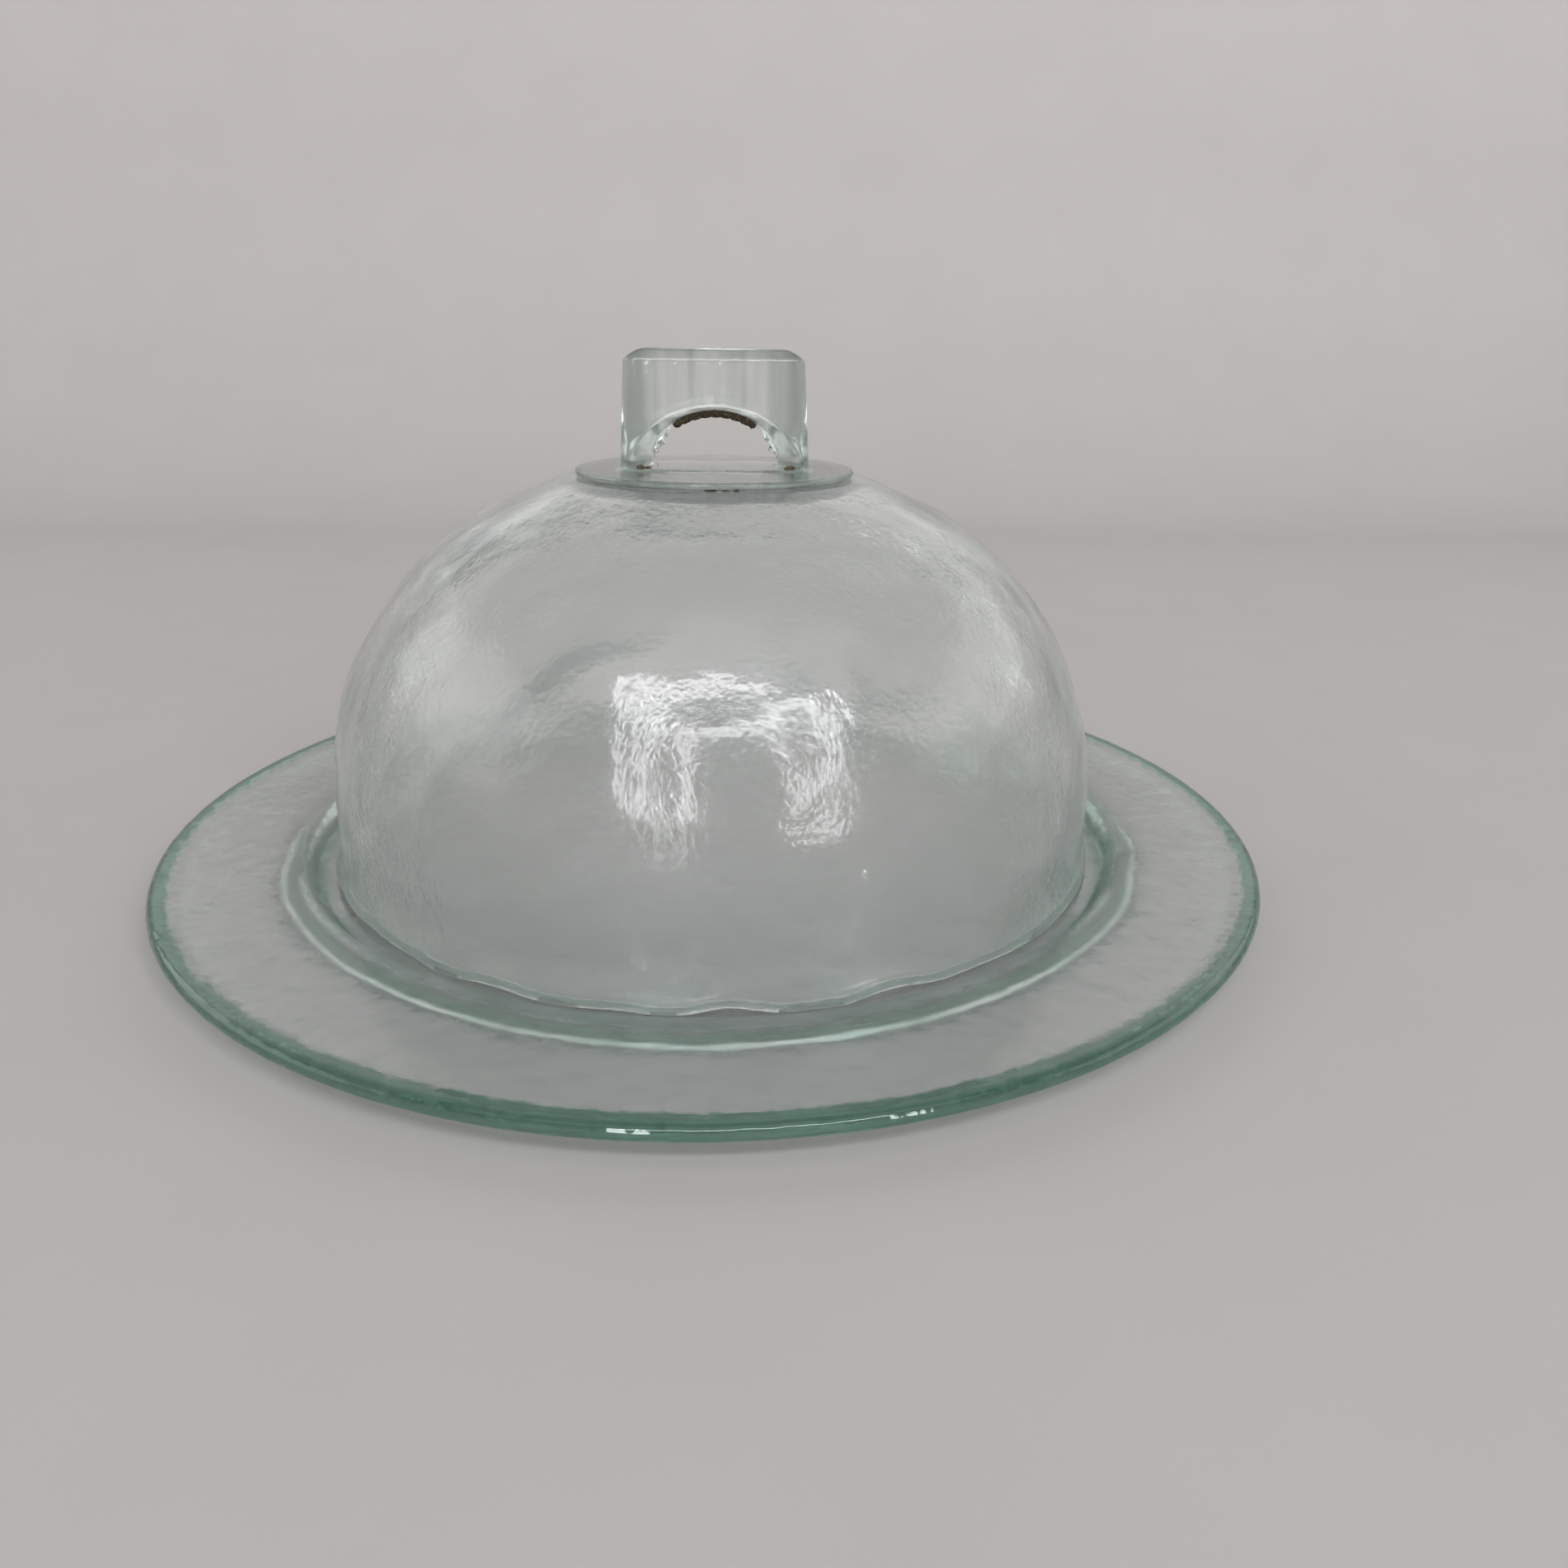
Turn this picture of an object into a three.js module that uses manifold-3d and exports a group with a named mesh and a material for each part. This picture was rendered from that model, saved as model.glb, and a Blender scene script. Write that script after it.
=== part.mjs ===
// Hand-pressed glass cake dome: a lift-off bell with a slab handle, standing in the well of its plate.
// Millimetres, +Z up. The origin is on the table, under the centre of the plate.
import * as THREE from 'three';
import { mergeVertices } from 'three/addons/utils/BufferGeometryUtils.js';
import Module from 'manifold-3d';

// Dome: radii are outside radii, heights are measured from its foot
const domeFootRadius = 113;
const domeHeight = 106.8;
const domeWall = 5;
const crownThickness = 6;
const skirtHeight = 15;
const skirtDraft = 2.3;
const shoulderRise = 51;
const crownReach = 38;
const crownFall = 11;

// Handle: a slab with a finger hole, on a round foot disc
const discRadius = 39;
const discThickness = 1.8;
const slabWidth = 51.6;
const slabDepth = 27;
const slabHeight = 31.4;
const slabTaper = 1.8;
const slabEdge = 2.2;
const slabCornerExtra = 0.8;
const archCheek = 2.4;
const archRoof = 14.4;
const archPinchSide = 6.4;
const archPinchTop = 2.6;
const archSill = 0.5;

// Film that fixes the handle to the crown
const bondThickness = 0.4;
const bondInset = 2.5;
const bondClearance = 0.05;
const seatMargin = 2;

// Plate: the well takes the foot of the dome, the rim runs out to a fire-polished nose
const floorThickness = 5;
const wellDepth = 5.6;
const wellMargin = 3;
const wellWallRun = 6;
const baseMargin = 4;
const undersideRun = 18;
const rimWidth = 38;
const rimThickness = 5.4;
const noseRun = 2.5;
const noseHeight = 4.3;
const noseTaper = 6.5;
const domeSeatGap = 0.3;

// Fineness of the round surfaces
const turnSteps = 72;
const bendSteps = 6;
const shoulderSteps = 14;
const archSteps = 18;
const archDepthSteps = 8;

// Derived sizes
const seatRadius = discRadius + seatMargin;
const bondGap = bondThickness + 2 * bondClearance;
const wellRadius = domeFootRadius + wellMargin;
const rimStart = wellRadius + wellWallRun;
const plateRadius = rimStart + rimWidth;
const rimTop = floorThickness + wellDepth;
const rimUnder = rimTop - rimThickness;
const baseRadius = domeFootRadius + baseMargin;

const wasm = await Module();
wasm.setup();

const clearGlass = new THREE.MeshStandardMaterial({
  color: 0xc4d2cb, roughness: 0.05, metalness: 0, transparent: true, opacity: 0.35,
});
const pebbledGlass = new THREE.MeshStandardMaterial({
  color: 0xbfc9c4, roughness: 0.2, metalness: 0, transparent: true, opacity: 0.45,
});
const clearFilm = new THREE.MeshStandardMaterial({
  color: 0xd8ddd6, roughness: 0.3, metalness: 0, transparent: true, opacity: 0.5,
});

// Turn a profile of (radius, height) points about the Z axis
function turned(points) {
  return new THREE.LatheGeometry(points, turnSteps).rotateX(Math.PI / 2);
}

function named(name, geometry, material) {
  const mesh = new THREE.Mesh(geometry, material);
  mesh.name = name;
  return mesh;
}

// Closed geometry to a solid that can be cut and joined, and back
function toSolid(geometry) {
  const bare = geometry.clone();
  bare.deleteAttribute('normal');
  bare.deleteAttribute('uv');
  const merged = mergeVertices(bare, 1e-4);
  const corners = merged.index.array;
  const triangles = [];
  for (let i = 0; i < corners.length; i += 3) {
    const [a, b, c] = [corners[i], corners[i + 1], corners[i + 2]];
    if (a !== b && b !== c && c !== a) triangles.push(a, b, c);
  }
  return new wasm.Manifold(new wasm.Mesh({
    numProp: 3,
    vertProperties: new Float32Array(merged.attributes.position.array),
    triVerts: new Uint32Array(triangles),
  }));
}

function toGeometry(solid) {
  const mesh = solid.getMesh();
  const geometry = new THREE.BufferGeometry();
  geometry.setAttribute('position', new THREE.BufferAttribute(mesh.vertProperties, 3));
  geometry.setIndex(new THREE.BufferAttribute(mesh.triVerts, 1));
  geometry.computeVertexNormals();
  return geometry;
}

// Plate: flat base, underside that sweeps up to the rim, S-shaped well wall, flat rim and a round nose
function plateGeometry() {
  const sweepEnd = baseRadius + undersideRun;
  const noseX = plateRadius - noseRun;
  const noseZ = rimTop - noseHeight / 2;
  const noseUnder = rimTop - noseHeight;
  const taperStart = noseX - noseTaper;
  const half = wellWallRun / 2;
  const profile = new THREE.Path();
  profile.moveTo(0, 0);
  profile.lineTo(baseRadius, 0);
  profile.bezierCurveTo(
    baseRadius + undersideRun / 2, 0,
    sweepEnd - undersideRun * 3 / 4, rimUnder,
    sweepEnd, rimUnder,
  );
  profile.lineTo(taperStart, rimUnder);
  profile.bezierCurveTo(taperStart + noseRun, rimUnder, noseX - noseRun, noseUnder, noseX, noseUnder);
  profile.absellipse(noseX, noseZ, noseRun, noseHeight / 2, -Math.PI / 2, Math.PI / 2, false, 0);
  profile.lineTo(rimStart, rimTop);
  profile.bezierCurveTo(rimStart - half, rimTop, wellRadius + half, floorThickness, wellRadius, floorThickness);
  profile.lineTo(0, floorThickness);
  return turned(profile.getPoints(bendSteps));
}

// Dome: a shell whose inside follows the outside at the wall's thickness
function domeGeometry() {
  const shoulderRadius = domeFootRadius - skirtDraft;
  const innerTop = domeHeight - crownThickness;
  const corner = (radius, height) => new THREE.Vector2(radius, height);
  const outerSkirt = new THREE.QuadraticBezierCurve(
    corner(domeFootRadius, 0),
    corner(shoulderRadius, skirtHeight / 2),
    corner(shoulderRadius, skirtHeight),
  );
  const outerShoulder = new THREE.CubicBezierCurve(
    corner(shoulderRadius, skirtHeight),
    corner(shoulderRadius, skirtHeight + shoulderRise),
    corner(seatRadius + crownReach, domeHeight - crownFall),
    corner(seatRadius, domeHeight),
  );
  const innerShoulder = new THREE.CubicBezierCurve(
    corner(seatRadius, innerTop),
    corner(seatRadius + crownReach - domeWall / 2, innerTop - crownFall),
    corner(shoulderRadius - domeWall, skirtHeight + shoulderRise - domeWall),
    corner(shoulderRadius - domeWall, skirtHeight),
  );
  const innerSkirt = new THREE.QuadraticBezierCurve(
    corner(shoulderRadius - domeWall, skirtHeight),
    corner(shoulderRadius - domeWall, skirtHeight / 2),
    corner(domeFootRadius - domeWall, 0),
  );
  const points = [
    corner(0, innerTop),
    ...innerShoulder.getPoints(shoulderSteps),
    ...innerSkirt.getPoints(bendSteps).slice(1),
    ...outerSkirt.getPoints(bendSteps),
    ...outerShoulder.getPoints(shoulderSteps).slice(1),
    corner(0, domeHeight),
  ];
  return turned(points);
}

// Foot disc of the handle, with a rounded edge
function discGeometry() {
  const roundRadius = discThickness / 2;
  const profile = new THREE.Path();
  profile.moveTo(0, 0);
  profile.lineTo(discRadius - roundRadius, 0);
  profile.absarc(discRadius - roundRadius, roundRadius, roundRadius, -Math.PI / 2, Math.PI / 2, false);
  profile.lineTo(0, discThickness);
  return turned(profile.getPoints(bendSteps / 2));
}

// Slab of the handle: a tapered front outline, extruded through the depth with rounded edges.
// Its rounded lower edges lie below the foot disc's middle, where the slab is trimmed.
function slabGeometry() {
  const foot = slabWidth / 2;
  const top = foot - slabTaper;
  const height = discThickness + slabHeight;
  const lowest = discThickness / 2 - slabEdge;
  const corner = slabEdge + slabCornerExtra;
  const outline = new THREE.Shape();
  outline.moveTo(-foot, lowest);
  outline.lineTo(foot, lowest);
  outline.absarc(top - corner, height - corner, corner, 0, Math.PI / 2, false);
  outline.absarc(corner - top, height - corner, corner, Math.PI / 2, Math.PI, false);
  const slab = new THREE.ExtrudeGeometry(outline, {
    depth: slabDepth - 2 * slabEdge,
    bevelThickness: slabEdge,
    bevelSize: slabEdge,
    bevelOffset: -slabEdge,
    bevelSegments: 3,
    curveSegments: 4,
  });
  slab.translate(0, 0, slabEdge - slabDepth / 2);
  return slab.rotateX(Math.PI / 2);
}

// Finger hole: a half-round arch that pinches in towards the middle of the slab's depth
function archGeometry() {
  const halfDepth = slabDepth / 2;
  const mouthHalfWidth = slabWidth / 2 - archCheek;
  const mouthHeight = slabHeight - archRoof - archSill;
  const halfRound = new THREE.Shape();
  halfRound.absarc(0, 0, 1, 0, Math.PI, false);
  const arch = new THREE.ExtrudeGeometry(halfRound, {
    depth: slabDepth + 2 * slabEdge,
    steps: archDepthSteps,
    curveSegments: archSteps,
    bevelEnabled: false,
  });
  arch.translate(0, 0, -halfDepth - slabEdge);
  arch.rotateX(Math.PI / 2);
  const place = arch.attributes.position;
  for (let i = 0; i < place.count; i += 1) {
    const pinch = 1 - (place.getY(i) / halfDepth) ** 2;
    const x = place.getX(i) * (mouthHalfWidth - archPinchSide * pinch);
    const z = place.getZ(i) * (mouthHeight - archPinchTop * pinch);
    place.setXYZ(i, x, place.getY(i), discThickness + archSill + z);
  }
  return arch;
}

// Block below the middle of the foot disc, which trims the slab's lower edges away
function trimGeometry() {
  const block = new THREE.BoxGeometry(2 * slabWidth, 2 * slabDepth, slabHeight);
  return block.translate(0, 0, (discThickness - slabHeight) / 2);
}

function handleGeometry() {
  const slab = toSolid(slabGeometry()).subtract(toSolid(trimGeometry()));
  const body = toSolid(discGeometry()).add(slab);
  return toGeometry(body.subtract(toSolid(archGeometry())));
}

function bondGeometry() {
  const radius = discRadius - bondInset;
  const profile = [
    new THREE.Vector2(0, 0),
    new THREE.Vector2(radius, 0),
    new THREE.Vector2(radius, bondThickness),
    new THREE.Vector2(0, bondThickness),
  ];
  return turned(profile);
}

// Assembly: the cover group is what the hand lifts off the plate
const plate = named('plate', plateGeometry(), clearGlass);
const dome = named('dome', domeGeometry(), pebbledGlass);
const handleBond = named('handle_bond', bondGeometry(), clearFilm);
handleBond.position.z = domeHeight + bondClearance;
const handle = named('handle', handleGeometry(), clearGlass);
handle.position.z = domeHeight + bondGap;

const cover = new THREE.Group();
cover.position.z = floorThickness + domeSeatGap;
cover.add(dome, handleBond, handle);

const cakeDome = new THREE.Group();
cakeDome.add(plate, cover);

export default cakeDome;
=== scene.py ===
import math

import bpy
import numpy as np
from mathutils import Matrix, Quaternion, Vector, noise


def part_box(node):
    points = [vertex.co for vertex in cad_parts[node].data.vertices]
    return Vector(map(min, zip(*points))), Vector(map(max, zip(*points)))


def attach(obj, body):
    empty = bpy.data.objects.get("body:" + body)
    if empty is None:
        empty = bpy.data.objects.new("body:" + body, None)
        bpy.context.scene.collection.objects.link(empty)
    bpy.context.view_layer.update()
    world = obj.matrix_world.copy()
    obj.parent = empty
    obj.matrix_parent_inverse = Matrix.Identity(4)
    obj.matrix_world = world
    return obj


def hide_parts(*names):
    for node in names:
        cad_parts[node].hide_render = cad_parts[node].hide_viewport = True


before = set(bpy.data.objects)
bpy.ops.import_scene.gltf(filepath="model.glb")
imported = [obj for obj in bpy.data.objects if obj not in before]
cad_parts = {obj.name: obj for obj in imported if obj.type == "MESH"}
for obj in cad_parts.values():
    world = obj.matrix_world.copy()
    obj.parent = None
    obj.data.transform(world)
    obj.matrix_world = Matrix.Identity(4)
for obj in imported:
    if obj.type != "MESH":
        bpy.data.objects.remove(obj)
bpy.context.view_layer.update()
print("frame loaded, nodes:", sorted(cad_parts))

mm = 0.001                      # every size below is in millimetres
tiny = 1e-6                     # keeps divisions on the axis from failing
seedStride = (3.1, 5.7, 11.3)   # how far apart two seeds lie in the noise


# small tools shared by all pieces

def linearColour(hexText):
    # sRGB hex to the linear colour that Blender's sockets take
    channels = []
    for start in (0, 2, 4):
        value = int(hexText[start:start + 2], 16) / 255
        channels.append(value / 12.92 if value <= 0.04045 else ((value + 0.055) / 1.055) ** 2.4)
    return (*channels, 1.0)


def addNode(tree, kind, settings, inputs):
    # a node with its settings, and its inputs as values or as links from other nodes
    node = tree.nodes.new(kind)
    for name, value in settings.items():
        setattr(node, name, value)
    for name, value in inputs.items():
        if isinstance(value, bpy.types.NodeSocket):
            tree.links.new(value, node.inputs[name])
        else:
            node.inputs[name].default_value = value
    return node


def newMaterial(name):
    material = bpy.data.materials.new(name)
    material.use_nodes = True
    material.node_tree.nodes.clear()
    return material, material.node_tree


def bezier(corners, steps):
    # points along a Bezier curve of any order, a straight line included
    along = np.linspace(0, 1, steps + 1)[:, None]
    points = [np.array(corner, float) for corner in corners]
    while len(points) > 1:
        points = [a + (b - a) * along for a, b in zip(points, points[1:])]
    return points[0]


def ellipseArc(centre, radii, startAngle, endAngle, steps):
    angles = np.radians(np.linspace(startAngle, endAngle, steps + 1))
    return np.stack([centre[0] + radii[0] * np.cos(angles), centre[1] + radii[1] * np.sin(angles)], axis=1)


def joined(runs):
    # one outline from several runs, without their shared end points
    return np.concatenate([runs[0]] + [run[1:] for run in runs[1:]])


def lumps(points, size, seed):
    # smooth seeded noise between about -1 and 1, with lumps of the given size
    shift = Vector([stride * seed for stride in seedStride])
    return np.array([noise.noise(Vector(point) / size + shift) for point in points])


def lumpShare(points, size, seed):
    # the same noise between about 0 and 1
    return 0.5 + 0.5 * lumps(points, size, seed)


def fade(values, start, end):
    # 0 before start, 1 after end, smooth between
    share = np.clip((values - start) / (end - start), 0, 1)
    return share * share * (3 - 2 * share)


def fromAxis(points):
    # how far each point lies from the Z axis, and which way
    radius = np.hypot(points[:, 0], points[:, 1])
    return radius, points[:, :2] / np.maximum(radius, tiny)[:, None]


def newPiece(name, points, faces, material):
    mesh = bpy.data.meshes.new(name)
    mesh.from_pydata((np.asarray(points) * mm).tolist(), [], faces)
    mesh.validate()
    mesh.polygons.foreach_set("use_smooth", [True] * len(mesh.polygons))
    mesh.materials.append(material)
    piece = bpy.data.objects.new(name, mesh)
    bpy.context.scene.collection.objects.link(piece)
    return piece


def turnedPoints(profile, turns):
    # rings of points about the Z axis; the profile starts and ends on the axis
    angles = np.linspace(0, 2 * math.pi, turns, endpoint=False)
    rings = profile[1:-1]
    x = rings[:, :1] * np.cos(angles)
    y = rings[:, :1] * np.sin(angles)
    z = np.repeat(rings[:, 1:], turns, axis=1)
    points = np.stack([x, y, z], axis=2).reshape(-1, 3)
    return np.concatenate([[[0, 0, profile[0, 1]]], points, [[0, 0, profile[-1, 1]]]])


def ringIndex(profileCount, turns):
    # which point of the profile each turned point comes from
    return np.concatenate([[0], np.repeat(np.arange(1, profileCount - 1), turns), [profileCount - 1]])


def turnedFaces(ringCount, turns):
    faces = []
    last = 1 + ringCount * turns
    for step in range(turns):
        after = (step + 1) % turns
        faces.append((0, 1 + after, 1 + step))
        faces.append((last, last - turns + step, last - turns + after))
        for ring in range(ringCount - 1):
            low = 1 + ring * turns
            faces.append((low + step, low + after, low + turns + after, low + turns + step))
    return faces


# camera at the photograph's place: height of a seated eye, close to the plate
camera = {
    "place": (-0.4, -342.3, 148.8),
    "lens": 27.0,
    "sensorWidth": 36,
    "clipStart": 10,
    "pitchDown": 20.79,
    "yawRight": 3.55,
    "roll": 0.85,
}


def placeCamera():
    data = bpy.data.cameras.new("camera")
    data.lens = camera["lens"]
    data.sensor_width = camera["sensorWidth"]
    data.clip_start = camera["clipStart"] * mm
    eye = bpy.data.objects.new("camera", data)
    turn = Matrix.Rotation(math.radians(-camera["yawRight"]), 4, "Z")
    tilt = Matrix.Rotation(math.radians(90 - camera["pitchDown"]), 4, "X")
    roll = Matrix.Rotation(math.radians(camera["roll"]), 4, "Z")
    eye.matrix_world = Matrix.Translation(Vector(camera["place"]) * mm) @ turn @ tilt @ roll
    bpy.context.scene.collection.objects.link(eye)
    bpy.context.scene.camera = eye
    print("camera placed")


# stage: pale floor that sweeps up into a backdrop, a soft graded sky, soft panels and three light bars
stage = {
    "floorColour": "BDBAB8",
    "mottleColour": "B8B5B3",
    "mottleSize": 60,
    "floorRoughness": 0.75,
    "floorDrop": 0.4,             # the floor lies just under the base, so that the faces don't coincide
    "halfWidth": 2600,
    "front": -1190,
    "sweepStart": 620,
    "sweepRadius": 320,
    "sweepSteps": 24,
    "wallTop": 1500,
    "skyColour": "FFF8F0",
    "skyStrength": (0.66, 0.05),  # at the horizon and straight above
    "skyFade": (0.15, 0.85),      # heights between which it fades, as sines
    "lampColour": "FBFCFF",
    "barDistance": 1200,
    "barStrength": 13.0,
    # each light bar in front: left, right, bottom, top, and degrees of lean
    "bars": [(-430, -310, 180, 1450, 7), (-420, 960, 1150, 1450, 0), (715, 840, 180, 1450, -8)],
    # a broad light behind and above, and one that washes the backdrop and is turned away from the object:
    # name, place, direction away from what it lights, size, strength
    "broadLights": [
        ("back light", (0, 655, 459), (0, 0.82, 0.57), (1500, 300), 0.38),
        ("backdrop light", (0, 520, 1250), (0, -0.5, 0.86), (2400, 300), 0.6),
    ],
    "panelDistance": 1300,
    # each soft panel: bearing from the front to the right and height in degrees, width, length, strength
    "panels": [(0, 66, 1900, 420, 0.8), (-95, 27, 1400, 520, 1.1), (95, 27, 1400, 520, 0.8)],
    "bounces": 96,                # light crosses many glass faces, and runs along inside the rim
}


def paintedCard():
    # matt painted card: even and pale, with a faint mottle so that it doesn't look computed
    material, tree = newMaterial("matt painted card")
    place = addNode(tree, "ShaderNodeTexCoord", {}, {})
    mottle = addNode(tree, "ShaderNodeTexNoise", {}, {
        "Vector": place.outputs["Object"], "Scale": 1 / (stage["mottleSize"] * mm), "Detail": 3.0})
    tone = addNode(tree, "ShaderNodeMix", {"data_type": "RGBA"}, {
        "Factor": mottle.outputs["Fac"],
        "A": linearColour(stage["floorColour"]),
        "B": linearColour(stage["mottleColour"])})
    shader = addNode(tree, "ShaderNodeBsdfPrincipled", {}, {
        "Base Color": tone.outputs["Result"], "Roughness": stage["floorRoughness"]})
    addNode(tree, "ShaderNodeOutputMaterial", {}, {"Surface": shader.outputs["BSDF"]})
    return material


def buildBackdrop():
    radius = stage["sweepRadius"]
    low = -stage["floorDrop"]
    start = stage["sweepStart"]
    wall = start + radius
    outline = joined([
        bezier([(stage["front"], low), (start, low)], 1),
        ellipseArc((start, low + radius), (radius, radius), -90, 0, stage["sweepSteps"]),
        bezier([(wall, low + radius), (wall, stage["wallTop"])], 1),
    ])
    points = []
    for side in (-stage["halfWidth"], stage["halfWidth"]):
        points += [(side, y, z) for y, z in outline]
    count = len(outline)
    faces = [(i + count, i, i + 1, i + 1 + count) for i in range(count - 1)]
    newPiece("backdrop", points, faces, paintedCard())


def buildSky():
    world = bpy.data.worlds.new("soft sky")
    bpy.context.scene.world = world
    world.use_nodes = True
    tree = world.node_tree
    tree.nodes.clear()
    direction = addNode(tree, "ShaderNodeTexCoord", {}, {})
    height = addNode(tree, "ShaderNodeSeparateXYZ", {}, {"Vector": direction.outputs["Generated"]})
    strength = addNode(tree, "ShaderNodeMapRange", {"interpolation_type": "SMOOTHSTEP"}, {
        "Value": height.outputs["Z"],
        "From Min": stage["skyFade"][0], "From Max": stage["skyFade"][1],
        "To Min": stage["skyStrength"][0], "To Max": stage["skyStrength"][1]})
    sky = addNode(tree, "ShaderNodeBackground", {}, {
        "Color": linearColour(stage["skyColour"]), "Strength": strength.outputs["Result"]})
    addNode(tree, "ShaderNodeOutputWorld", {}, {"Surface": sky.outputs["Background"]})


def softLight(name, middle, away, size, strength, lean=0):
    # a rectangle that faces back along away, as bright as a card of the given strength
    data = bpy.data.lights.new(name, "AREA")
    data.shape = "RECTANGLE"
    data.size = size[0] * mm
    data.size_y = size[1] * mm
    data.energy = strength * math.pi * data.size * data.size_y
    data.color = linearColour(stage["lampColour"])[:3]
    light = bpy.data.objects.new(name, data)
    light.location = Vector(middle) * mm
    turn = Quaternion((0, 0, 1), math.radians(lean))
    light.rotation_euler = (Vector(away).to_track_quat("Z", "Y") @ turn).to_euler()
    bpy.context.scene.collection.objects.link(light)


def buildLights():
    for left, right, bottom, top, lean in stage["bars"]:
        middle = ((left + right) / 2, -stage["barDistance"], (bottom + top) / 2)
        softLight("light bar", middle, (0, -1, 0), (right - left, top - bottom), stage["barStrength"], lean)
    for bearing, height, width, length, strength in stage["panels"]:
        turn = math.radians(bearing)
        rise = math.radians(height)
        away = (math.cos(rise) * math.sin(turn), -math.cos(rise) * math.cos(turn), math.sin(rise))
        middle = [part * stage["panelDistance"] for part in away]
        softLight("soft panel", middle, away, (width, length), strength)
    for light in stage["broadLights"]:
        softLight(*light)


def buildStage():
    buildBackdrop()
    buildSky()
    buildLights()
    scene = bpy.context.scene
    scene.view_settings.view_transform = "Standard"
    scene.cycles.max_bounces = stage["bounces"]
    scene.cycles.transmission_bounces = stage["bounces"]
    scene.cycles.glossy_bounces = stage["bounces"]
    print("stage built")


# pressed recycled soda-lime glass: clear across a thin wall, bottle green along it, because the iron in
# the cullet takes out red light over the long way through an edge
glassTint = {
    "surface": "FFFFFF",
    "depth": "7CD3B4",
    "ior": 1.52,
}


def pressedGlass(name, piece, layers, tint=None):
    # piece holds density of the green per metre, clearness and roughness; each layer of the skin is the
    # size of one grain and its height, coarse to fine; tint is a function that colours the glass by place
    material, tree = newMaterial(name)
    place = addNode(tree, "ShaderNodeTexCoord", {}, {})
    skin = None
    for size, height in layers:
        grain = addNode(tree, "ShaderNodeTexNoise", {}, {
            "Vector": place.outputs["Object"], "Scale": 1 / (size * mm), "Detail": 1.0})
        links = {"Height": grain.outputs["Fac"], "Strength": 1.0, "Distance": height * mm}
        if skin:
            links["Normal"] = skin.outputs["Normal"]
        skin = addNode(tree, "ShaderNodeBump", {}, links)
    shader = addNode(tree, "ShaderNodeBsdfPrincipled", {}, {
        "Base Color": linearColour(glassTint["surface"]),
        "Roughness": piece["roughness"],
        "IOR": glassTint["ior"],
        "Transmission Weight": piece["clearness"],
        "Normal": skin.outputs["Normal"]})
    body = addNode(tree, "ShaderNodeVolumeAbsorption", {}, {
        "Color": linearColour(glassTint["depth"]), "Density": piece["density"]})
    addNode(tree, "ShaderNodeOutputMaterial", {}, {
        "Surface": shader.outputs["BSDF"], "Volume": body.outputs["Volume"]})
    if tint:
        tint(tree, shader)
    return material


# dome: a gently hammered bell, pebbled by its mould, with a wavy foot
dome = {
    "footRadius": 113,
    "height": 106.8,
    "wall": 5,
    "crown": 6,
    "skirtHeight": 15,
    "skirtDraft": 2.3,
    "shoulderRise": 51,
    "crownReach": 38,
    "crownFall": 11,
    "seatRadius": 41,
    "footRound": 0.7,
    "flareHeight": 5.2,      # the skirt turns out over this height
    "turns": 360,
    "crownSteps": 22,
    "shoulderSteps": 84,
    "skirtSteps": 14,
    "lipSteps": 12,
    "hammerSize": 22,
    "hammerDepth": 1.2,
    "dentSize": 10,
    "dentDepth": 0.42,
    "innerSize": 34,
    "innerDepth": 0.9,
    "ringSize": 9,           # rings that the turning mould left round the crown, short and broken
    "ringLength": 30,
    "ringDepth": 0.3,
    "ringRadius": 62,
    "ringFade": 30,
    "seatFade": (-1, 14),    # the lumps begin over this stretch outside the seat
    "scallopLength": 17,     # the foot is wavy where the hot edge sagged in the mould
    "scallopRise": 2.0,
    "scallopMean": 0.3,
    "scallopSwing": 1.1,
    "scallopReach": 9,
    "footDrop": 0.25,        # the foot comes down to touch the plate at its low points
    "beadRise": 0.2,         # a faint bead just above the foot, which catches the light
    "beadHeight": 2.2,
    "beadSpread": 2.2,
    "density": 8.0,
    "clearness": 0.91,
    "roughness": 0.16,
    "pebble": [(4.0, 0.1), (1.5, 0.1)],
}


def domeProfile():
    foot = dome["footRadius"]
    wall = dome["wall"]
    shoulder = foot - dome["skirtDraft"]
    seat = dome["seatRadius"]
    reach = seat + dome["crownReach"]
    fall = dome["crownFall"]
    skirt = dome["skirtHeight"]
    bend = skirt + dome["shoulderRise"]
    top = dome["height"]
    under = top - dome["crown"]
    lip = dome["footRound"]
    flare = dome["flareHeight"]
    lipRadius = foot - lip * dome["skirtDraft"] / flare
    inside = shoulder - wall
    innerBend = [(seat, under), (reach - wall / 2, under - fall), (inside, bend - wall), (inside, skirt)]
    outerBend = [(shoulder, skirt), (shoulder, bend), (reach, top - fall), (seat, top)]
    inner = joined([
        bezier([(0, under), (seat, under)], dome["crownSteps"]),
        bezier(innerBend, dome["shoulderSteps"]),
        bezier([(inside, skirt), (inside, flare), (lipRadius - wall, lip)], dome["skirtSteps"]),
    ])
    lipArc = ellipseArc((lipRadius - wall / 2, lip), (wall / 2, lip), 180, 360, dome["lipSteps"])
    outer = joined([
        bezier([(lipRadius, lip), (shoulder, flare), (shoulder, skirt)], dome["skirtSteps"]),
        bezier(outerBend, dome["shoulderSteps"]),
        bezier([(seat, top), (0, top)], dome["crownSteps"]),
    ])
    return joined([inner, lipArc, outer]), len(inner)


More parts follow.
